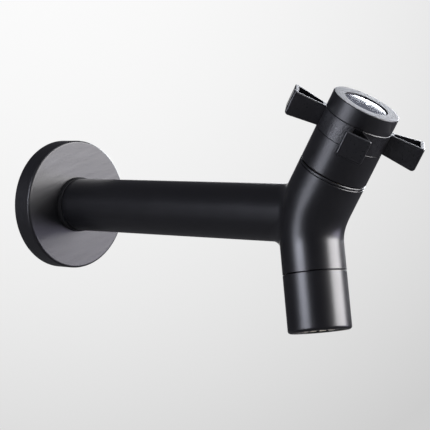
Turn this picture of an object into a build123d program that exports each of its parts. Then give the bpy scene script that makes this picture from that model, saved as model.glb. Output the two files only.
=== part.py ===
from build123d import *
import os
from math import cos, pi, radians, sin, tan

# Outdoor wall tap. Sizes are in millimetres and degrees. The origin is the centre of the inlet in the
# plane of the wall, the tube runs towards -Y, away from the wall, and +Z is up.

# Tube and inlet
tube_diameter = 25.0
tube_wall = 2.0
wall_to_bend = 157.5
bend_drop = 2.2
inlet_thread_diameter = 20.955
inlet_thread_length = 15.0
inlet_thread_chamfer = 1.0
inlet_shoulder = 3.0
inlet_spigot = 11.0
inlet_bore = 12.0
inlet_key_size = 12.0
inlet_key_depth = 10.0

# Wall flange and its two seals
flange_diameter = 61.6
flange_depth = 10.1
flange_shell = 2.0
flange_edge = 1.05
flange_hub_wall = 3.0
flange_hub_setback = 2.0
gasket_width = 3.0
gasket_thickness = 1.2
gasket_ledge = 1.6
gasket_margin = 0.6
seal_ring_proud = 0.55
seal_ring_width = 2.5
seal_ring_seat = 1.6
seal_ring_edge = 0.4

# Body: the casting bends from the lower branch into the upper one
upper_lean = 30.0
lower_lean = 10.4
bend_radius = 30.0
bend_steps = 8
neck_diameter = 29.6
outlet_diameter = 27.0
neck_reach = 22.7
outlet_reach = 22.5
neck_edge = 0.5
stub_reach = 22.0
stub_fillet = 8.5
stub_spigot = 8.0
stub_spigot_wall = 2.0

# Waterways in the body
seat_reach = 4.0
seat_hole_diameter = 9.2
chamber_diameter = 19.6
chamber_top = 14.0
duct_diameter = 9.0
duct_drop = 5.5
duct_overrun = 1.0
stub_bore_stop = 12.0
outlet_bore = 17.2
outlet_bore_start = 12.0
channel_inner_diameter = 14.4
channel_spread = 140.0
channel_reach = 14.0

# Headwork: the quarter-turn valve that is screwed into the neck
cartridge_thread_diameter = 20.955
cartridge_barrel_diameter = 15.6
cartridge_bore = 14.0
cartridge_mouth = 1.0
cartridge_hex_space = 0.5
cartridge_hex_height = 6.5
cartridge_top_diameter = 13.0
cartridge_top_height = 3.6
window_spread = 80.0
window_height = 3.0
o_ring_section = 1.8
seat_seal_height = 2.0
disc_height = 2.2
disc_hole_inner = 4.0
disc_hole_outer = 11.2
disc_hole_spread = 82.0
disc_lug_width = 2.2
dog_width = 3.0
dog_length = 9.0
dog_height = 1.1
drive_flange_height = 3.0
thrust_washer_height = 0.6
spindle_diameter = 9.9
spindle_step = 0.5
spindle_o_ring_section = 1.3
spindle_o_ring_places = (8.0, 12.5)
circlip_height = 0.75
circlip_width = 2.0
circlip_gap = 50.0
spline_diameter = 8.0
spline_depth = 0.45
spline_teeth = 20
spline_length = 9.9

# Handle, from the body's top edge up
bonnet_ring_height = 0.9
handle_gap = 0.3
skirt_inset = 0.05
skirt_height = 15.2
skirt_wall = 1.4
skirt_foot_round = 0.6
skirt_top_edge = 0.35
skirt_web = 2.5
band_proud = 0.05
band_height = 9.1
cap_inset = 0.12
cap_height = 7.4
cap_floor = 2.2
cap_rim_round = 0.45
cap_spigot_diameter = 22.8
cap_spigot_height = 1.0
seam_edge = 0.25
bush_hex = 10.4
bush_lead = 0.2

# The four arms: hollow loops that widen towards their tips
arm_count = 4
arm_turn = 42.5
arm_reach = 29.3
arm_root_width = 4.8
arm_tip_width = 11.8
arm_top_rise = 1.3
arm_bottom_fall = 0.5
arm_side_wall = 1.15
arm_end_wall = 1.8
arm_root_wall = 1.2
arm_corner_round = 0.95
arm_bottom_round = 1.6
arm_top_round = 0.5
arm_sunk = 0.3

# Button, clip and screw in the cap
button_diameter = 18.6
button_height = 0.9
button_dome = 0.5
button_recess = 0.5
button_gap = 0.3
clip_wall = 1.3
clip_inset = 0.05
screw_diameter = 3.96
screw_length = 13.0
screw_head_diameter = 7.6
screw_head_height = 2.0
screw_key_size = 2.5
screw_key_depth = 1.2
screw_washer_diameter = 9.0
screw_washer_height = 0.8

# Aerator in the lower branch
stub_thread_diameter = 22.0
stub_thread_length = 8.5
aerator_length = 24.9
aerator_gap = 0.3
aerator_top_edge = 0.35
aerator_bottom_round = 1.3
aerator_shoulder = 2.0
spout_seal_height = 2.0
insert_diameter = 21.8
insert_setback = 0.7
insert_wall = 1.4
insert_lip = 0.8
insert_grid_height = 1.0
insert_grid_setback = 1.4
insert_grid_bar = 0.7
insert_grid_pitch = 2.6
insert_notches = 16
insert_notch_width = 1.5
insert_notch_depth = 1.1
aerator_washer_height = 1.4
diffuser_height = 1.5
diffuser_hole = 1.2
diffuser_hole_spacing = 2.4
diffuser_first_ring = 3.0
diffuser_ring_step = 2.4
diffuser_ring_count = 3
screen_height = 0.4
screen_drop = 3.0
screen_hole = 1.1
screen_pitch = 1.7

# Clearances, all radial or one-sided
slide_clearance = 0.05
turn_clearance = 0.06
joint_clearance = 0.02
seat_clearance = 0.05
end_clearance = 0.05
screw_clearance = 0.2
screw_tip_space = 1.0

# How far a cutter runs past what it cuts, how near an edge is to the place where it is looked for, how
# near its height is to the tube's, and the share of a wall that a rounding may take
cut_overrun = 1.0
edge_search = 0.2
joint_search = 1.0
rounding_share = 0.8

# Derived places
bend_point = Vector(0, -wall_to_bend, -bend_drop)
up_direction = Vector(0, -sin(radians(upper_lean)), cos(radians(upper_lean)))
down_direction = Vector(0, -sin(radians(lower_lean)), -cos(radians(lower_lean)))
inlet_frame = Plane(origin=(0, 0, 0), x_dir=(1, 0, 0), z_dir=(0, -1, 0)).location
upper_frame = Plane(origin=bend_point, x_dir=(1, 0, 0), z_dir=up_direction).location
lower_frame = Plane(origin=bend_point, x_dir=(1, 0, 0), z_dir=down_direction).location

stub_seam = wall_to_bend - stub_reach
tube_bore = tube_diameter - 2 * tube_wall
skirt_diameter = neck_diameter - 2 * skirt_inset
band_diameter = skirt_diameter + 2 * band_proud
cap_diameter = band_diameter - 2 * cap_inset
skirt_bore = skirt_diameter - 2 * skirt_wall
cartridge_hex = (skirt_bore - 2 * cartridge_hex_space) * cos(pi / 6)
ring_top = neck_reach + bonnet_ring_height
skirt_bottom = ring_top + handle_gap
skirt_top = skirt_bottom + skirt_height
band_top = skirt_top + band_height
cap_top = band_top + cap_height
web_bottom = skirt_top - skirt_web

housing_bottom = seat_reach + cartridge_mouth
fixed_disc_bottom = seat_reach + seat_seal_height
moving_disc_bottom = fixed_disc_bottom + disc_height
flange_bottom = moving_disc_bottom + disc_height
washer_bottom = flange_bottom + drive_flange_height
shoulder_bottom = washer_bottom + thrust_washer_height
hex_top = ring_top + cartridge_hex_height
housing_top = hex_top + cartridge_top_height
circlip_bottom = housing_top + end_clearance
shaft_top = circlip_bottom + circlip_height + spindle_step
spline_top = shaft_top + spline_length
bush_top = spline_top + bush_lead
cap_floor_top = band_top + cap_floor
button_bottom = cap_top - button_recess - button_height
recess_diameter = button_diameter + 2 * button_gap

stub_end = outlet_reach + stub_thread_length
shoulder_top = stub_end + spout_seal_height
shoulder_end = shoulder_top + aerator_shoulder
insert_start = shoulder_end + aerator_washer_height
outlet_end = outlet_reach + aerator_length
insert_end = outlet_end - insert_setback

seal_outer = tube_diameter + 2 * seal_ring_proud
o_ring_seat = cartridge_thread_diameter + 2 * o_ring_section + 2 * seat_clearance
spindle_o_ring_core = spindle_diameter - 2 * spindle_o_ring_section + 2 * joint_clearance
circlip_core = spindle_diameter - 2 * spindle_step
head_bottom = cap_floor_top + screw_washer_height
screw_end = head_bottom - screw_length
dome_radius = ((button_diameter / 2) ** 2 + button_dome ** 2) / (2 * button_dome)
cage_bore = insert_diameter - 2 * seat_clearance - 2 * insert_wall


def rod(start, end, diameter):
    """A plain cylinder on the local Z axis, from one height to another."""
    return Pos(0, 0, (start + end) / 2) * Cylinder(diameter / 2, end - start)


def ring(start, end, outer, inner):
    """A cylinder with a bore through it."""
    return rod(start, end, outer) - rod(start, end, inner)


def prism(start, end, outline):
    """An outline drawn round the local Z axis and drawn up from one height to another."""
    return Pos(0, 0, start) * extrude(outline, end - start)


def hexagon(size):
    return RegularPolygon(size / 2, 6, major_radius=False)


def slice_of_circle(diameter, spread, facing):
    """A flat slice from the middle of a circle to its edge, centred on the direction that it faces."""
    half = spread / 2
    side = diameter / cos(radians(half))
    wedge = Polygon(
        (0, 0),
        (side * cos(radians(facing - half)), side * sin(radians(facing - half))),
        (side * cos(radians(facing)), side * sin(radians(facing))),
        (side * cos(radians(facing + half)), side * sin(radians(facing + half))),
        align=None,
    )
    return Circle(diameter / 2) & wedge


def sector(inner, outer, spread, facing):
    """A flat piece of a ring, centred on the direction that it faces."""
    return slice_of_circle(outer, spread, facing) - Circle(inner / 2)


def end_edges(solid, height, radius):
    """The circular edges of one radius that lie at one height on the local Z axis."""
    found = []
    for edge in solid.edges().filter_by(GeomType.CIRCLE):
        near = abs(edge.center().Z - height) < edge_search
        if near and abs(edge.radius - radius) < edge_search:
            found.append(edge)
    return found


def bend_section(turn):
    """One round section of the bend: turn runs from 0 at the lower branch to 1 at the upper one."""
    total = upper_lean + lower_lean
    tangent = bend_radius * tan(radians(total / 2))
    start = bend_point + down_direction * tangent
    inward = Vector(0, -cos(radians(lower_lean)), sin(radians(lower_lean)))
    centre = start + inward * bend_radius
    angle = radians(total * turn)
    forward = down_direction * -1
    place = centre - inward * (bend_radius * cos(angle)) + forward * (bend_radius * sin(angle))
    normal = forward * cos(angle) + inward * sin(angle)
    blend = turn * turn * (3 - 2 * turn)
    radius = (outlet_diameter + (neck_diameter - outlet_diameter) * blend) / 2
    return Plane(origin=place, x_dir=(1, 0, 0), z_dir=normal) * Circle(radius)


def stub_joint(skin):
    """The edge where the tube's stub meets the branches: as tall as the tube and beyond its seam."""
    tall = [e for e in skin.edges() if abs(e.bounding_box().size.Z - tube_diameter) < joint_search]
    return [e for e in tall if e.bounding_box().max.Y < -stub_seam - joint_search]


def casting_outside():
    """The casting's outer skin: two branches, the bend between them and the stub for the tube."""
    tangent = bend_radius * tan(radians((upper_lean + lower_lean) / 2))
    neck = rod(tangent, neck_reach, neck_diameter)
    neck = chamfer(end_edges(neck, neck_reach, neck_diameter / 2), neck_edge)
    skin = loft([bend_section(i / bend_steps) for i in range(bend_steps + 1)])
    skin += upper_frame * neck
    skin += lower_frame * rod(tangent, outlet_reach, outlet_diameter)
    skin += inlet_frame * rod(stub_seam, wall_to_bend, tube_diameter)
    return fillet(stub_joint(skin), stub_fillet)


def valve_body():
    """The casting with its spigots and waterways: water comes in from the tube and goes under the seat,
    up through the valve into the chamber, and down the channel in front to the outlet."""
    spigot = tube_bore - 2 * joint_clearance
    spigot_start = stub_seam - stub_spigot
    bore_stop = wall_to_bend - stub_bore_stop
    solid = casting_outside()
    solid += inlet_frame * rod(spigot_start, stub_seam, spigot)
    solid += lower_frame * rod(outlet_reach, stub_end, stub_thread_diameter)
    solid -= inlet_frame * rod(spigot_start, bore_stop, spigot - 2 * stub_spigot_wall)
    duct = inlet_frame * rod(bore_stop, wall_to_bend + duct_overrun, duct_diameter)
    solid -= Pos(0, 0, -duct_drop) * duct
    duct_crossing = -(duct_drop - bend_drop) / cos(radians(upper_lean))
    solid -= upper_frame * rod(duct_crossing, seat_reach, seat_hole_diameter)
    solid -= upper_frame * rod(seat_reach, chamber_top, chamber_diameter)
    solid -= upper_frame * rod(chamber_top, neck_reach, cartridge_thread_diameter + 2 * joint_clearance)
    solid -= upper_frame * rod(neck_reach - o_ring_section - end_clearance, neck_reach, o_ring_seat)
    channel = sector(channel_inner_diameter, chamber_diameter, channel_spread, -90)
    solid -= upper_frame * prism(-channel_reach, seat_reach, channel)
    solid -= lower_frame * rod(outlet_bore_start, stub_end, outlet_bore)
    return solid


def inlet_tube():
    return inlet_frame * ring(inlet_shoulder, stub_seam, tube_diameter, tube_bore)


def inlet_nipple():
    """The threaded connection, brazed into the wall end of the tube, with a hexagon inside for a key."""
    thread = rod(-inlet_thread_length, 0, inlet_thread_diameter)
    thread = chamfer(end_edges(thread, -inlet_thread_length, inlet_thread_diameter / 2), inlet_thread_chamfer)
    solid = thread + rod(0, inlet_shoulder, tube_diameter - 2 * slide_clearance)
    solid += rod(inlet_shoulder, inlet_shoulder + inlet_spigot, tube_bore - 2 * joint_clearance)
    solid -= rod(-inlet_thread_length, inlet_shoulder + inlet_spigot, inlet_bore)
    solid -= prism(-inlet_thread_length, inlet_key_depth - inlet_thread_length, hexagon(inlet_key_size))
    return inlet_frame * solid


def wall_flange():
    """A hollow round cover with a hub that slides on the tube and a ledge for its gasket."""
    hub_bore = tube_diameter + 2 * slide_clearance
    shell = rod(0, flange_depth, flange_diameter)
    shell = fillet(end_edges(shell, flange_depth, flange_diameter / 2), flange_edge)
    rim = flange_diameter - 2 * gasket_margin
    shell -= rod(0, gasket_thickness, rim)
    shell -= rod(0, flange_depth - flange_shell, rim - 2 * gasket_ledge)
    shell += rod(flange_hub_setback, flange_depth - flange_shell, hub_bore + 2 * flange_hub_wall)
    shell -= rod(0, flange_depth, hub_bore)
    shell -= rod(flange_depth - seal_ring_seat, flange_depth, seal_outer + 2 * joint_clearance)
    return inlet_frame * shell


def flange_seal_ring():
    """The soft ring round the tube: it sits in the flange's front face and stands out from it."""
    front = flange_depth + seal_ring_width
    bore = tube_diameter + 2 * turn_clearance
    solid = ring(flange_depth - seal_ring_seat, front, seal_outer, bore)
    edge = min(seal_ring_edge, rounding_share * (seal_outer - bore) / 2)
    return inlet_frame * fillet(end_edges(solid, front, seal_outer / 2), edge)


def wall_gasket():
    outer = flange_diameter - 2 * gasket_margin - 2 * joint_clearance
    return inlet_frame * ring(0, gasket_thickness, outer, outer - 2 * gasket_width)


def bonnet_ring():
    """A thin bright-edged ring, clamped between the body and the hexagon of the headwork."""
    bore = cartridge_thread_diameter + 2 * seat_clearance
    solid = ring(neck_reach, ring_top, neck_diameter, bore)
    return upper_frame * chamfer(end_edges(solid, ring_top, neck_diameter / 2), seam_edge)


def cartridge_housing():
    """The brass headwork: barrel with two windows, thread, hexagon and the guide of the spindle."""
    barrel = rod(housing_bottom, chamber_top, cartridge_barrel_diameter)
    solid = barrel + rod(chamber_top, ring_top, cartridge_thread_diameter)
    solid += prism(ring_top, hex_top, hexagon(cartridge_hex))
    solid += rod(hex_top, housing_top, cartridge_top_diameter)
    solid -= rod(housing_bottom, shoulder_bottom, cartridge_bore)
    solid -= rod(shoulder_bottom, housing_top, spindle_diameter + 2 * turn_clearance)
    past_barrel = cartridge_barrel_diameter + 2 * cut_overrun
    for facing in (90, -90):
        window = sector(cartridge_bore - 2 * cut_overrun, past_barrel, window_spread, facing)
        solid -= prism(moving_disc_bottom, moving_disc_bottom + window_height, window)
    slot = Rectangle(past_barrel, disc_lug_width + 2 * seat_clearance)
    solid -= prism(housing_bottom, moving_disc_bottom, slot)
    return upper_frame * solid


def cartridge_o_ring():
    middle = neck_reach - o_ring_section / 2 - end_clearance / 2
    centre = (cartridge_thread_diameter + o_ring_section) / 2 + joint_clearance
    return upper_frame * Pos(0, 0, middle) * Torus(centre, o_ring_section / 2)


def seat_seal():
    outer = cartridge_bore - 2 * seat_clearance
    return upper_frame * ring(seat_reach, fixed_disc_bottom, outer, seat_hole_diameter + 4 * seat_clearance)


def fixed_ceramic_disc():
    """The disc that stays still: two openings and two lugs that stop it from turning."""
    disc = Circle(cartridge_bore / 2 - seat_clearance)
    disc += Rectangle(cartridge_barrel_diameter - 2 * seat_clearance, disc_lug_width)
    for facing in (90, -90):
        disc -= sector(disc_hole_inner, disc_hole_outer, disc_hole_spread, facing)
    return upper_frame * prism(fixed_disc_bottom, moving_disc_bottom, disc)


def moving_ceramic_disc():
    """The disc that turns with the spindle: its two notches meet the openings a quarter turn later."""
    disc = Circle(cartridge_bore / 2 - turn_clearance)
    for facing in (0, 180):
        disc -= sector(disc_hole_inner, cartridge_bore, disc_hole_spread, facing)
    solid = prism(moving_disc_bottom, flange_bottom, disc)
    slot = Rectangle(dog_width + 2 * seat_clearance, dog_length + 2 * seat_clearance)
    solid -= prism(flange_bottom - dog_height - end_clearance, flange_bottom, slot)
    return upper_frame * solid


def spline_outline(grow):
    """The toothed outline shared by the spindle and, a little larger, by the bush."""
    outer = spline_diameter / 2 + grow
    points = []
    for i in range(2 * spline_teeth):
        radius = outer if i % 2 == 0 else outer - spline_depth
        angle = pi * i / spline_teeth
        points.append((radius * cos(angle), radius * sin(angle)))
    return Polygon(*points, align=None)


def spindle():
    """The stem: a dog in the moving disc, a drive flange, grooves for its seals and a splined end."""
    solid = rod(flange_bottom, washer_bottom, cartridge_bore - 2 * turn_clearance)
    solid += prism(flange_bottom - dog_height, flange_bottom, Rectangle(dog_width, dog_length))
    solid += rod(washer_bottom, shaft_top, spindle_diameter)
    solid += prism(shaft_top, spline_top, spline_outline(0))
    past_shaft = spindle_diameter + 2 * cut_overrun
    for place in spindle_o_ring_places:
        low = shoulder_bottom + place - spindle_o_ring_section / 2 - end_clearance
        high = low + spindle_o_ring_section + 2 * end_clearance
        solid -= ring(low, high, past_shaft, spindle_o_ring_core)
    groove_top = circlip_bottom + circlip_height + end_clearance
    solid -= ring(housing_top, groove_top, past_shaft, circlip_core)
    solid -= rod(screw_end - screw_tip_space, spline_top, screw_diameter + 2 * joint_clearance)
    return upper_frame * solid


def thrust_washer():
    outer = cartridge_bore - 2 * turn_clearance
    return upper_frame * ring(washer_bottom, shoulder_bottom, outer, spindle_diameter + 2 * turn_clearance)


def spindle_o_rings():
    centre = (spindle_o_ring_core + spindle_o_ring_section) / 2
    rings = Part()
    for place in spindle_o_ring_places:
        rings += Pos(0, 0, shoulder_bottom + place) * Torus(centre, spindle_o_ring_section / 2)
    return upper_frame * rings


def spindle_circlip():
    inner = circlip_core + 2 * joint_clearance
    outline = Circle(inner / 2 + circlip_width) - Circle(inner / 2)
    outline -= slice_of_circle(2 * (inner + 2 * circlip_width), circlip_gap, 0)
    return upper_frame * prism(circlip_bottom, circlip_bottom + circlip_height, outline)


def spline_bush():
    """Carries the turn from the splined end to the handle: toothed inside, a hexagon outside."""
    outline = hexagon(bush_hex) - spline_outline(joint_clearance)
    return upper_frame * prism(web_bottom, bush_top, outline)


def handle_skirt():
    """The bell that covers the headwork, open below, with a web that the bush passes through."""
    solid = rod(skirt_bottom, skirt_top, skirt_diameter)
    solid = chamfer(end_edges(solid, skirt_top, skirt_diameter / 2), skirt_top_edge)
    solid = fillet(end_edges(solid, skirt_bottom, skirt_diameter / 2), skirt_foot_round)
    solid -= rod(skirt_bottom, web_bottom, skirt_bore)
    solid -= prism(web_bottom, skirt_top, hexagon(bush_hex + 2 * joint_clearance))
    return upper_frame * solid


def arm_section(reach, width, low, high):
    place = Plane(origin=(reach, 0, (low + high) / 2), x_dir=(0, 1, 0), z_dir=(1, 0, 0))
    return place * Rectangle(width, high - low)


def arm_block(root, low, high):
    """An arm before its slot is cut. It widens towards its tip, and its outer edges are rounded."""
    block = loft([
        arm_section(root, arm_root_width, skirt_top, band_top),
        arm_section(arm_reach, arm_tip_width, low, high),
    ], ruled=True)
    tip = block.edges().filter_by_position(Axis.X, arm_reach - edge_search, arm_reach + edge_search)
    block = fillet([e for e in tip if e.center().Z < low + edge_search], arm_bottom_round)
    beside = [e for e in block.edges() if abs(e.center().Y) > arm_root_width / 2 + edge_search]
    block = fillet([e for e in beside if e.bounding_box().min.Z < band_top - edge_search], arm_corner_round)
    top = block.faces().sort_by(Axis.Z)[-1]
    rim = [e for e in top.edges() if e.bounding_box().max.X > root + edge_search]
    return fillet(rim, arm_top_round)


def arm():
    """One arm along the local X axis: a loop of two side walls and an end wall round an open slot."""
    root = band_diameter / 2 - arm_sunk
    low = skirt_top - arm_bottom_fall
    high = band_top + arm_top_rise
    widening = (arm_tip_width - arm_root_width) / (arm_reach - root)
    slot_start = root + arm_sunk + arm_root_wall
    slot_end = arm_reach - arm_end_wall
    start_width = arm_root_width + widening * (slot_start - root) - 2 * arm_side_wall
    end_width = arm_root_width + widening * (slot_end - root) - 2 * arm_side_wall
    slot = loft([
        arm_section(slot_start, start_width, low - cut_overrun, high + cut_overrun),
        arm_section(slot_end, end_width, low - cut_overrun, high + cut_overrun),
    ], ruled=True)
    return arm_block(root, low, high) - slot


def cross_handle():
    """The hub band with its arms, bored for the bush, the screw and the spigot of the cap."""
    hub = rod(skirt_top, band_top, band_diameter)
    hub = chamfer(end_edges(hub, band_top, band_diameter / 2), seam_edge)
    for i in range(arm_count):
        hub += Rot(0, 0, arm_turn + i * 360 / arm_count) * arm()
    hub -= prism(skirt_top, bush_top, hexagon(bush_hex + 2 * joint_clearance))
    hub -= rod(bush_top, band_top, screw_diameter + 2 * screw_clearance)
    spigot_bore = cap_spigot_diameter + 2 * joint_clearance
    hub -= rod(band_top - cap_spigot_height - end_clearance, band_top, spigot_bore)
    return upper_frame * hub


def handle_cap():
    """The ring on top of the hub: it holds the button in a shallow recess over the screw."""
    solid = rod(band_top, cap_top, cap_diameter)
    solid = fillet(end_edges(solid, cap_top, cap_diameter / 2), cap_rim_round)
    solid = chamfer(end_edges(solid, band_top, cap_diameter / 2), seam_edge)
    solid += rod(band_top - cap_spigot_height, band_top, cap_spigot_diameter)
    solid -= rod(cap_floor_top, cap_top, recess_diameter)
    solid -= rod(band_top - cap_spigot_height, cap_floor_top, screw_diameter + 2 * screw_clearance)
    return upper_frame * solid


def screw_washer():
    top = cap_floor_top + screw_washer_height
    return upper_frame * ring(cap_floor_top, top, screw_washer_diameter, screw_diameter + 2 * screw_clearance)


def handle_screw():
    """Clamps cap, cross and skirt to the spindle, with a hexagon socket in its head."""
    head_top = head_bottom + screw_head_height
    solid = rod(head_bottom, head_top, screw_head_diameter)
    solid = fillet(end_edges(solid, head_top, screw_head_diameter / 2), screw_head_height / 4)
    solid += rod(screw_end, head_bottom, screw_diameter)
    solid -= prism(head_top - screw_key_depth, head_top, hexagon(screw_key_size))
    return upper_frame * solid


def medallion_clip():
    outer = recess_diameter - 2 * clip_inset
    return upper_frame * ring(cap_floor_top, button_bottom, outer, outer - 2 * clip_wall)


def index_medallion():
    """The button: a plain disc with a shallow dome, left bare."""
    rim = button_diameter / 2
    edge = button_bottom + button_height
    with BuildPart() as dome:
        with BuildSketch(Plane.XZ):
            with BuildLine():
                Polyline((0, button_bottom), (rim, button_bottom), (rim, edge))
                crown = RadiusArc((rim, edge), (0, edge + button_dome), -dome_radius)
                Line(crown @ 1, (0, button_bottom))
            make_face()
        revolve(axis=Axis.Z)
    return upper_frame * dome.part


def aerator_housing():
    """The sleeve that screws onto the body's stub and holds the aerator."""
    top = outlet_reach + aerator_gap
    solid = rod(top, outlet_end, outlet_diameter)
    solid = chamfer(end_edges(solid, top, outlet_diameter / 2), aerator_top_edge)
    solid = fillet(end_edges(solid, outlet_end, outlet_diameter / 2), aerator_bottom_round)
    solid -= rod(top, shoulder_top, stub_thread_diameter + 2 * joint_clearance)
    solid -= rod(shoulder_top, shoulder_end, outlet_bore)
    solid -= rod(shoulder_end, outlet_end, insert_diameter)
    return lower_frame * solid


def spout_seal():
    outer = stub_thread_diameter - 2 * seat_clearance
    return lower_frame * ring(stub_end, shoulder_top, outer, outlet_bore + 2 * seat_clearance)


def aerator_washer():
    outer = insert_diameter - 2 * seat_clearance
    return lower_frame * ring(shoulder_end, insert_start, outer, outlet_bore + 2 * seat_clearance)


def aerator_cage():
    """The insert: a sleeve with a lip above, a grid of bars below and a notched rim for its key."""
    outer = insert_diameter - 2 * seat_clearance
    solid = ring(insert_start, insert_end, outer, cage_bore)
    solid += ring(insert_start, insert_start + insert_lip, outer, outlet_bore)
    grid_end = insert_end - insert_grid_setback
    count = int(cage_bore / insert_grid_pitch / 2)
    bars = Sketch()
    span = cage_bore + insert_wall
    for i in range(-count, count + 1):
        bars += Pos(i * insert_grid_pitch, 0) * Rectangle(insert_grid_bar, span)
        bars += Pos(0, i * insert_grid_pitch) * Rectangle(span, insert_grid_bar)
    solid += prism(grid_end - insert_grid_height, grid_end, bars & Circle(span / 2))
    notch = Box(2 * (insert_wall + cut_overrun), insert_notch_width, 2 * insert_notch_depth)
    for i in range(insert_notches):
        solid -= Rot(0, 0, i * 360 / insert_notches) * Pos(outer / 2, 0, insert_end) * notch
    return lower_frame * solid


def aerator_diffuser():
    """The plate that breaks the water into jets."""
    plate = Circle(cage_bore / 2 - seat_clearance)
    for i in range(diffuser_ring_count):
        radius = diffuser_first_ring + i * diffuser_ring_step
        holes = round(2 * pi * radius / diffuser_hole_spacing)
        plate -= PolarLocations(radius, holes) * Circle(diffuser_hole / 2)
    start = insert_start + insert_lip
    return lower_frame * prism(start, start + diffuser_height, plate)


def aerator_screen():
    """The mesh below the plate."""
    sheet = Circle(cage_bore / 2 - seat_clearance)
    count = int(cage_bore / screen_pitch / 2)
    reach = cage_bore / 2 - screen_hole
    holes = []
    for i in range(-count, count + 1):
        for j in range(-count, count + 1):
            if (abs(i) + 0.5) ** 2 + (abs(j) + 0.5) ** 2 < (reach / screen_pitch) ** 2:
                holes.append(Pos(i * screen_pitch, j * screen_pitch) * Rectangle(screen_hole, screen_hole))
    start = insert_start + insert_lip + diffuser_height + screen_drop
    return lower_frame * prism(start, start + screen_height, sheet - holes)


pieces = (
    valve_body,
    inlet_tube,
    inlet_nipple,
    wall_flange,
    flange_seal_ring,
    wall_gasket,
    bonnet_ring,
    cartridge_housing,
    cartridge_o_ring,
    seat_seal,
    fixed_ceramic_disc,
    moving_ceramic_disc,
    spindle,
    thrust_washer,
    spindle_o_rings,
    spindle_circlip,
    spline_bush,
    handle_skirt,
    cross_handle,
    handle_cap,
    screw_washer,
    handle_screw,
    medallion_clip,
    index_medallion,
    aerator_housing,
    spout_seal,
    aerator_washer,
    aerator_cage,
    aerator_diffuser,
    aerator_screen,
)

os.makedirs("parts", exist_ok=True)
for piece in pieces:
    export_step(piece(), f"parts/{piece.__name__}.step")
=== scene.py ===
import math

import bmesh
import bpy
from mathutils import Matrix, Vector


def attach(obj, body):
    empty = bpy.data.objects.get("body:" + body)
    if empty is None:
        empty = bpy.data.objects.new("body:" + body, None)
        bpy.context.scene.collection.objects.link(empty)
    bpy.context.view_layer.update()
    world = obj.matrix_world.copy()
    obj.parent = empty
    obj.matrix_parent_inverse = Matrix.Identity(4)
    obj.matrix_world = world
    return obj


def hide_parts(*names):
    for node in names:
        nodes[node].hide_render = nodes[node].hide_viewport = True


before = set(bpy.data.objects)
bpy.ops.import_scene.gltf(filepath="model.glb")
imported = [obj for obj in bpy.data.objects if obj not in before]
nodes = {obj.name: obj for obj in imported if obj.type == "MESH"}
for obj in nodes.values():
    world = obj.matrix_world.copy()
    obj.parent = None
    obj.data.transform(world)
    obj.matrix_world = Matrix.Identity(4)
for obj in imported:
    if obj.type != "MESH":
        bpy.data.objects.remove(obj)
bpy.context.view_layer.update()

scene = bpy.context.scene
mm = 0.001
print("frame loaded,", len(nodes), "nodes")


def linear(hexCode):
    # sRGB hex to the linear RGBA that Blender's sockets take
    parts = [int(hexCode[i:i + 2], 16) / 255 for i in (1, 3, 5)]
    return [p / 12.92 if p <= 0.04045 else ((p + 0.055) / 1.055) ** 2.4 for p in parts] + [1]


def cosine(degrees):
    return math.cos(math.radians(degrees))


def scaleOf(sizeMm):
    # the scale at which a noise has patches of this size
    return 1 / (sizeMm * mm)


def addNode(tree, kind, settings={}, feeds={}):
    # settings are the node's own, and each feed is a value or the socket that it is linked to
    node = tree.nodes.new("ShaderNode" + kind)
    for name, value in settings.items():
        setattr(node, name, value)
    for key, feed in feeds.items():
        if isinstance(feed, bpy.types.NodeSocket):
            tree.links.new(feed, node.inputs[key])
        else:
            node.inputs[key].default_value = feed
    return node


def newMaterial(name):
    material = bpy.data.materials.new(name)
    material.use_nodes = True
    material.node_tree.nodes.clear()
    return material, material.node_tree


def dress(material, *names):
    for name in names:
        mesh = nodes[name].data
        mesh.materials.clear()
        mesh.materials.append(material)


# Camera, solved from the outlines in the photograph; lengths in mm, angles in degrees
cameraPlace = dict(azimuth=-46.209, elevation=-0.052, roll=-2.601, target=(0, -94.043, 0),
                   distance=709.18, right=5.933, up=-2.507, lens=132.53, sensor=36)

turn, rise, tilt = (math.radians(cameraPlace[key]) for key in ("azimuth", "elevation", "roll"))
toCamera = Vector((math.sin(turn) * math.cos(rise), -math.cos(turn) * math.cos(rise), math.sin(rise)))
level = Vector((math.cos(turn), math.sin(turn), 0))
upright = toCamera.cross(level)
imageRight = level * math.cos(tilt) - upright * math.sin(tilt)
imageUp = level * math.sin(tilt) + upright * math.cos(tilt)
eye = Vector(cameraPlace["target"]) + toCamera * cameraPlace["distance"]
eye += imageRight * cameraPlace["right"] + imageUp * cameraPlace["up"]
lens = bpy.data.cameras.new("camera")
lens.lens = cameraPlace["lens"]
lens.sensor_width = cameraPlace["sensor"]
camera = bpy.data.objects.new("camera", lens)
axes = Matrix((imageRight, imageUp, toCamera)).transposed().to_4x4()
camera.matrix_world = Matrix.Translation(eye * mm) @ axes
scene.collection.objects.link(camera)
scene.camera = camera
print("camera placed")


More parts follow.
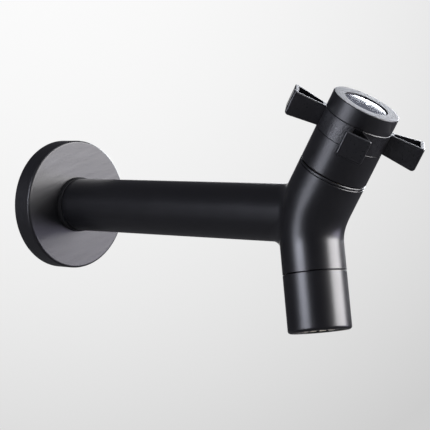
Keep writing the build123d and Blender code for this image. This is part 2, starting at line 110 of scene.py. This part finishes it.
# Softboxes round the tap. turn is degrees round from the camera towards its right, measured at the tap, and
# rise is above the horizon. width and height are the degrees that each fills. glow is its brightness, 1 being
# white
softboxPlace = dict(centre=(0, -110, 0), away=1400)
softboxes = [
    dict(name="right", turn=80, rise=18.5, width=46, height=29, glow=9.7, colour="#fffdff"),
    dict(name="rightFoot", turn=94, rise=-6, width=34, height=18, glow=2.4, colour="#e8e4ff"),
    dict(name="rightHaze", turn=62, rise=10, width=60, height=26, glow=0.2, colour="#fffdff"),
    dict(name="back", turn=125, rise=30, width=30, height=16, glow=2, colour="#e9eeff"),
    dict(name="top", turn=157, rise=17.5, width=38, height=21, glow=8.8, colour="#f5f8ff"),
    dict(name="topHaze", turn=160, rise=40, width=40, height=20, glow=0.13, colour="#dfe6ff"),
    dict(name="left", turn=-53, rise=8, width=29, height=12, glow=13, colour="#edf0ff"),
    dict(name="leftFoot", turn=-57, rise=-13, width=24, height=12, glow=4.2, colour="#edf0ff"),
    dict(name="overhead", turn=46, rise=64, width=60, height=36, glow=0.9, colour="#f2f4ff"),
    dict(name="wing", turn=-120, rise=30, width=90, height=44, glow=0.02, colour="#edf0ff"),
]

reach = softboxPlace["away"] * mm
for box in softboxes:
    side, up = math.radians(box["turn"]), math.radians(box["rise"])
    ahead = toCamera * math.cos(side) + level * math.sin(side)
    towards = ahead * math.cos(up) + Vector((0, 0, 1)) * math.sin(up)
    lamp = bpy.data.lights.new(box["name"], "AREA")
    lamp.shape = "RECTANGLE"
    lamp.size = 2 * reach * math.tan(math.radians(box["width"] / 2))
    lamp.size_y = 2 * reach * math.tan(math.radians(box["height"] / 2))
    lamp.energy = math.pi * lamp.size * lamp.size_y * box["glow"]  # W, which gives a radiance of glow
    lamp.color = linear(box["colour"])[:3]
    lampObject = bpy.data.objects.new(box["name"], lamp)
    lampObject.location = Vector(softboxPlace["centre"]) * mm + towards * reach
    lampObject.rotation_mode = "QUATERNION"
    lampObject.rotation_quaternion = towards.to_track_quat("Z", "Y")
    lampObject.visible_camera = False
    scene.collection.objects.link(lampObject)


# Room: white paper behind the tap, with a pool of light off its top left corner, and a dim studio round it.
# The camera sees paper all round, and metal sees it only where it hangs. fillGlow is the soft light on dull
# surfaces
room = dict(bright="#fcfcfc", grey="#cecece", poolRight=-7.3, poolUp=11.9, poolReach=23.7,
            paperHalfWidth=11, paperSoft=5, studio="#f2f0ff", studioGlow=0.045, fillGlow=0.25)

scene.view_settings.view_transform = "Standard"
world = bpy.data.worlds.new("room")
scene.world = world
world.use_nodes = True
tree = world.node_tree
tree.nodes.clear()
sight = addNode(tree, "TexCoord").outputs["Generated"]
poolRight, poolUp = math.radians(room["poolRight"]), math.radians(room["poolUp"])
pool = imageRight * math.tan(poolRight) + imageUp * math.tan(poolUp) - toCamera
toPool = addNode(tree, "VectorMath", dict(operation="DOT_PRODUCT"), {0: sight, 1: pool.normalized()})
lit = addNode(tree, "MapRange", {}, {
    "Value": toPool.outputs["Value"], "From Min": cosine(room["poolReach"]), "From Max": 1.0})
paper = addNode(tree, "Mix", dict(data_type="RGBA"), {
    0: lit.outputs["Result"], 6: linear(room["grey"]), 7: linear(room["bright"])})
toPaper = addNode(tree, "VectorMath", dict(operation="DOT_PRODUCT"), {0: sight, 1: -toCamera})
onPaper = addNode(tree, "MapRange", dict(interpolation_type="SMOOTHSTEP"), {
    "Value": toPaper.outputs["Value"], "From Min": cosine(room["paperHalfWidth"] + room["paperSoft"]),
    "From Max": cosine(room["paperHalfWidth"])})
ray = addNode(tree, "LightPath").outputs
shiny = addNode(tree, "Math", dict(operation="MAXIMUM"), {
    0: ray["Is Glossy Ray"], 1: ray["Is Transmission Ray"]})
shinyPaper = addNode(tree, "Math", dict(operation="MULTIPLY"), {
    0: shiny.outputs[0], 1: onPaper.outputs["Result"]})
seen = addNode(tree, "Math", dict(operation="MAXIMUM"), {0: shinyPaper.outputs[0], 1: ray["Is Camera Ray"]})
fill = addNode(tree, "MapRange", {}, {
    "Value": shiny.outputs[0], "To Min": room["fillGlow"], "To Max": room["studioGlow"]})
studio = addNode(tree, "Background", {}, {
    "Color": linear(room["studio"]), "Strength": fill.outputs["Result"]})
sheet = addNode(tree, "Background", {}, {"Color": paper.outputs[2], "Strength": 1.0})
both = addNode(tree, "MixShader", {}, {0: seen.outputs[0], 1: studio.outputs[0], 2: sheet.outputs[0]})
addNode(tree, "OutputWorld", {}, {"Surface": both.outputs[0]})

# Floor: a pale board 550 mm below the tap. The eye sees it nearly as light as the paper behind. The tap hangs
# where its gloss meets no bright floor, so shiny rays find the board as dim as the studio
floorBoard = dict(height=-550, radius=3000, around=128, colour="#d6d6d6", roughness=0.85, grainMm=6.0,
                  grainDepthMm=0.2, grainStrength=0.2, dim="#525256", paleLow="#dcdcdc",
                  paleHigh="#e0e0e0", paleShare=0.82)

disc = bpy.data.meshes.new("floor")
shape = bmesh.new()
bmesh.ops.create_circle(
    shape, cap_ends=True, segments=floorBoard["around"], radius=floorBoard["radius"] * mm)
shape.to_mesh(disc)
shape.free()
floorObject = bpy.data.objects.new("floor", disc)
floorObject.location = (0, softboxPlace["centre"][1] * mm, floorBoard["height"] * mm)
scene.collection.objects.link(floorObject)

# Painted studio board: matt, pale and hardly grained. The grain is drawn coarser than a paint roller's
material, tree = newMaterial("paintedStudioBoard")
place = addNode(tree, "TexCoord").outputs["Object"]
grain = addNode(tree, "TexNoise", {}, {
    "Vector": place, "Scale": scaleOf(floorBoard["grainMm"]), "Detail": 2.0})
lift = addNode(tree, "Bump", {}, {
    "Strength": floorBoard["grainStrength"], "Distance": floorBoard["grainDepthMm"] * mm,
    "Height": grain.outputs["Fac"]})
board = addNode(tree, "BsdfPrincipled", {}, {
    "Base Color": linear(floorBoard["colour"]), "Roughness": floorBoard["roughness"],
    "Normal": lift.outputs[0]})
dimmed = addNode(tree, "Emission", {}, {"Color": linear(floorBoard["dim"]), "Strength": 1.0})
paleness = addNode(tree, "Mix", dict(data_type="RGBA"), {
    0: grain.outputs["Fac"], 6: linear(floorBoard["paleLow"]), 7: linear(floorBoard["paleHigh"])})
glowing = addNode(tree, "Emission", {}, {"Color": paleness.outputs[2], "Strength": 1.0})
lifted = addNode(tree, "MixShader", {}, {
    0: floorBoard["paleShare"], 1: board.outputs[0], 2: glowing.outputs[0]})
ray = addNode(tree, "LightPath").outputs
metBoard = addNode(tree, "MixShader", {}, {
    0: ray["Is Glossy Ray"], 1: board.outputs[0], 2: dimmed.outputs[0]})
seenBoard = addNode(tree, "MixShader", {}, {
    0: ray["Is Camera Ray"], 1: metBoard.outputs[0], 2: lifted.outputs[0]})
addNode(tree, "OutputMaterial", {}, {"Surface": seenBoard.outputs[0]})
disc.materials.append(material)
print("lamps, room and floor placed")


# The upper branch leans away from the wall, and its axis runs through the bend, in mm
bend = Vector((0, -157.5, -2.2))
lean = math.radians(30)
upAxis = Vector((0, -math.sin(lean), math.cos(lean)))


# Satin black lacquer over brass. It is sprayed and baked, so it lies a little wavy, as orange peel, and its
# sheen is soft: lamps show in it as broad blue-grey bands. The metal below shows through it: brushed streaks
# on the pressing, turned rings on the cap, and on the cast cross a mottled hub, which fades to smooth arms.
# Peel, streaks and rings are too fine to show at this size, so they are drawn coarser. Rings and fade are
# measured from the upper branch's axis, and a fade at 900 mm lies beyond the tap
def lacquer(look):
    material, tree = newMaterial(look["name"])
    place = addNode(tree, "TexCoord").outputs["Object"]
    streak = addNode(tree, "Mapping", dict(vector_type="TEXTURE"), {
        "Vector": place, "Rotation": (0, math.radians(look["brushTurn"]), 0),
        "Scale": (look["brushStretch"], 1, 1)})
    peel = addNode(tree, "TexNoise", {}, {
        "Vector": streak.outputs[0], "Scale": scaleOf(look["peelMm"]), "Detail": 3.0})
    cloud = addNode(tree, "TexNoise", {}, {
        "Vector": streak.outputs[0], "Scale": scaleOf(look["cloudMm"]), "Detail": 2.0})
    tone = addNode(tree, "Mix", dict(data_type="RGBA"), {
        0: cloud.outputs["Fac"], 6: linear(look["dark"]), 7: linear(look["light"])})
    thin, thick = look["cloudRange"]
    low, high = look["roughness"]
    sheen = addNode(tree, "MapRange", {}, {
        "Value": cloud.outputs["Fac"], "From Min": thin, "From Max": thick, "To Min": low, "To Max": high})

    fromBend = addNode(tree, "VectorMath", dict(operation="SUBTRACT"), {0: place, 1: bend * mm})
    crossed = addNode(tree, "VectorMath", dict(operation="CROSS_PRODUCT"), {
        0: fromBend.outputs[0], 1: upAxis})
    offAxis = addNode(tree, "VectorMath", dict(operation="LENGTH"), {0: crossed.outputs[0]})
    across = addNode(tree, "Math", dict(operation="MULTIPLY"), {
        0: offAxis.outputs["Value"], 1: 2 * math.pi / (look["ringMm"] * mm)})
    ring = addNode(tree, "Math", dict(operation="SINE"), {0: across.outputs[0]})
    turned = addNode(tree, "Bump", {}, {
        "Strength": 1.0, "Distance": look["ringDepthMm"] * mm, "Height": ring.outputs[0]})
    near, far = look["peelFadeMm"]
    fade = addNode(tree, "MapRange", {}, {
        "Value": offAxis.outputs["Value"], "From Min": near * mm, "From Max": far * mm,
        "To Min": 1.0, "To Max": look["peelLeft"]})
    peeled = addNode(tree, "Math", dict(operation="MULTIPLY"), {
        0: peel.outputs["Fac"], 1: fade.outputs["Result"]})
    wave = addNode(tree, "Bump", {}, {
        "Strength": 1.0, "Distance": look["peelDepthMm"] * mm, "Height": peeled.outputs[0],
        "Normal": turned.outputs[0]})

    skin = addNode(tree, "BsdfPrincipled", {}, {
        "Base Color": tone.outputs[2], "Roughness": sheen.outputs["Result"], "IOR": look["ior"],
        "Coat Weight": look["coat"], "Coat Roughness": look["coatRoughness"], "Coat IOR": look["coatIor"],
        "Coat Normal": wave.outputs[0], "Normal": wave.outputs[0]})
    addNode(tree, "OutputMaterial", {}, {"Surface": skin.outputs[0]})
    return material


smoothLacquer = dict(name="satinBlackLacquer", dark="#0e0e11", light="#111114", cloudMm=9.0,
                     cloudRange=(0.3, 0.7), roughness=(0.31, 0.35), ior=1.55, coat=0.6,
                     coatRoughness=0.33, coatIor=1.5, peelMm=0.9, peelDepthMm=0.0015,
                     peelFadeMm=(900, 1000), peelLeft=0.03, brushTurn=0, brushStretch=1, ringMm=1.3,
                     ringDepthMm=0)
castLacquer = dict(smoothLacquer, name="satinBlackLacquerOnCasting", dark="#131316", light="#17171a",
                   cloudMm=1.0, roughness=(0.26, 0.43), coatRoughness=0.35, peelMm=0.7,
                   peelDepthMm=0.15, peelFadeMm=(15.0, 17.0))
pressedLacquer = dict(smoothLacquer, name="satinBlackLacquerOnPressing", cloudMm=2.5,
                      roughness=(0.36, 0.44), coatRoughness=0.40, peelMm=1.8, peelDepthMm=0.04,
                      brushTurn=-20, brushStretch=6)
turnedLacquer = dict(smoothLacquer, name="satinBlackLacquerOnTurning", roughness=(0.36, 0.41),
                     coatRoughness=0.385, peelDepthMm=0.012, ringDepthMm=0.012)

dress(lacquer(smoothLacquer), "inlet_tube", "valve_body", "bonnet_ring", "handle_skirt", "aerator_housing")
dress(lacquer(castLacquer), "cross_handle")
dress(lacquer(pressedLacquer), "wall_flange")
dress(lacquer(turnedLacquer), "handle_cap")
print("lacquer on")


# Everything else: one cloud of tone and roughness over the piece, and a relief. The relief is the cloud's
# own, a finer grain, or the rings that a turning tool leaves round its axis. Grain and rings are drawn
# coarser than the real ones, which are too fine to show
def clouded(look):
    material, tree = newMaterial(look["name"])
    place = addNode(tree, "TexCoord").outputs["Object"]
    cloud = addNode(tree, "TexNoise", {}, {
        "Vector": place, "Scale": scaleOf(look["cloudMm"]), "Detail": look["detail"]})
    tone = addNode(tree, "Mix", dict(data_type="RGBA"), {
        0: cloud.outputs["Fac"], 6: linear(look["dark"]), 7: linear(look["light"])})
    low, high = look["roughness"]
    haze = addNode(tree, "MapRange", {}, {"Value": cloud.outputs["Fac"], "To Min": low, "To Max": high})
    height = cloud.outputs["Fac"]
    if "grainMm" in look:
        height = addNode(tree, "TexNoise", {}, {
            "Vector": place, "Scale": scaleOf(look["grainMm"]), "Detail": 2.0}).outputs["Fac"]
    if "ringMm" in look:
        travel = addNode(tree, "VectorMath", dict(operation="DOT_PRODUCT"), {
            0: place, 1: Vector(look["axis"])})
        across = addNode(tree, "Math", dict(operation="MULTIPLY"), {
            0: travel.outputs["Value"], 1: 2 * math.pi / (look["ringMm"] * mm)})
        height = addNode(tree, "Math", dict(operation="SINE"), {0: across.outputs[0]}).outputs[0]
    lift = addNode(tree, "Bump", {}, {"Distance": look["depthMm"] * mm, "Height": height})
    skin = addNode(tree, "BsdfPrincipled", {}, {
        "Base Color": tone.outputs[2], "Roughness": haze.outputs["Result"], "Normal": lift.outputs[0],
        **look["sockets"]})
    addNode(tree, "OutputMaterial", {}, {"Surface": skin.outputs[0]})
    return material


# Moulded EPDM: a grey bloom over black, dull all round
rubber = dict(name="mouldedEpdmRubber", dark="#0a0a0b", light="#131314", roughness=(0.75, 0.9),
              cloudMm=2.5, detail=4.0, grainMm=0.5, depthMm=0.01, sockets={"IOR": 1.52})
dress(clouded(rubber), "flange_seal_ring", "wall_gasket", "cartridge_o_ring", "seat_seal",
      "spindle_o_rings", "spout_seal", "aerator_washer")

# Bright metals: turned brass glints in fine rings, chrome plate mirrors under a faint haze, and blanked steel
# is cloudy and softly bright
turnedBrass = dict(name="turnedBrass", dark="#d9bd7c", light="#ecd69a", roughness=(0.24, 0.36),
                   cloudMm=4.0, detail=3.0, axis=upAxis, ringMm=0.35, depthMm=0.0012,
                   sockets={"Metallic": 1.0})
chrome = dict(name="chromePlatedBrass", dark="#d8dadc", light="#e6e8ea", roughness=(0.13, 0.19),
              cloudMm=5.0, detail=3.0, depthMm=0.0001, sockets={"Metallic": 1.0})
stainless = dict(name="blankedStainlessSteel", dark="#a9a9a8", light="#c2c2c1", roughness=(0.25, 0.38),
                 cloudMm=1.5, detail=3.0, depthMm=0.001, sockets={"Metallic": 1.0})
dress(clouded(turnedBrass), "cartridge_housing", "spindle", "spline_bush")
dress(clouded(chrome), "index_medallion")
dress(clouded(stainless), "screw_washer", "handle_screw", "spindle_circlip", "aerator_screen")

# Moulded acetal is ivory and waxy, and lapped alumina is white with a soft gloss
acetal = dict(name="mouldedAcetal", dark="#d9d2c1", light="#e8e2d3", roughness=(0.35, 0.5), cloudMm=3.0,
              detail=3.0, depthMm=0.004, sockets={"IOR": 1.48})
alumina = dict(name="lappedAlumina", dark="#e9e7e0", light="#f2f0ea", roughness=(0.12, 0.2), cloudMm=1.0,
               detail=3.0, depthMm=0.0005, sockets={"IOR": 1.77})
dress(clouded(acetal), "thrust_washer", "medallion_clip", "aerator_cage", "aerator_diffuser")
dress(clouded(alumina), "fixed_ceramic_disc", "moving_ceramic_disc")
print("rubber, metal, acetal and alumina on")


# Inlet with its real G1/2 thread: 14 turns to the inch, rounded crests and roots. Lengths in mm, y towards
# the wall
inlet = dict(major=20.955, depth=1.162, pitch=1.814, length=15.0, lead=1.0, runout=1.6, collar=24.9,
             collarLength=3.0, spigot=20.96, spigotLength=11.0, bore=12.0, keyDepth=10.0, around=96,
             steps=12, weld=0.001, sharpAngle=40)


def threadRadius(place, angle):
    root = inlet["major"] / 2 - inlet["depth"]
    crest = 0.5 + 0.5 * math.cos(2 * math.pi * (place / inlet["pitch"] - angle / (2 * math.pi)))
    fade = min(1, max(0, place - inlet["runout"]) / inlet["pitch"])
    bevel = inlet["major"] / 2 - max(0, inlet["lead"] - (inlet["length"] - place))
    return min(root + inlet["depth"] * crest * fade, bevel)


def keyRadius(place, angle):
    # a hexagon whose flats touch the bore
    return inlet["bore"] / 2 / math.cos((angle + math.pi / 6) % (math.pi / 3) - math.pi / 6)


def plain(diameter):
    return lambda place, angle: diameter / 2


# Each loop is a place on y and the radius there, once round the inlet's wall from the collar and back
mouth, shoulder = inlet["length"], -inlet["collarLength"]
keyEnd, tail = mouth - inlet["keyDepth"], shoulder - inlet["spigotLength"]
bore, spigot, collar = (plain(inlet[key]) for key in ("bore", "spigot", "collar"))
count = round(mouth / inlet["pitch"] * inlet["steps"])
loops = [(mouth * i / count, threadRadius) for i in range(count + 1)]
loops += [(mouth, keyRadius), (keyEnd, keyRadius), (keyEnd, bore), (tail, bore), (tail, spigot),
          (shoulder, spigot), (shoulder, collar), (0, collar)]

shape = bmesh.new()
angles = [2 * math.pi * i / inlet["around"] for i in range(inlet["around"])]
rounds = []
for place, radius in loops:
    corners = []
    for angle in angles:
        r = radius(place, angle) * mm
        corners.append(shape.verts.new((r * math.cos(angle), place * mm, r * math.sin(angle))))
    rounds.append(corners)
for first, second in zip(rounds, rounds[1:] + rounds[:1]):
    for i in range(inlet["around"]):
        j = (i + 1) % inlet["around"]
        shape.faces.new((first[i], first[j], second[j], second[i]))
bmesh.ops.remove_doubles(shape, verts=shape.verts, dist=inlet["weld"] * mm)
bmesh.ops.recalc_face_normals(shape, faces=shape.faces)
mesh = bpy.data.meshes.new("threaded_inlet")
shape.to_mesh(mesh)
shape.free()
mesh.shade_smooth()
mesh.set_sharp_from_angle(angle=math.radians(inlet["sharpAngle"]))
threadedInlet = bpy.data.objects.new("threaded_inlet", mesh)
scene.collection.objects.link(threadedInlet)

# The same brass, with the tool's rings round the inlet's axis
threadedBrass = dict(turnedBrass, name="threadedBrass", axis=(0, 1, 0))
mesh.materials.append(clouded(threadedBrass))
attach(threadedInlet, "faucet")
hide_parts("inlet_nipple")
print("inlet thread cut")
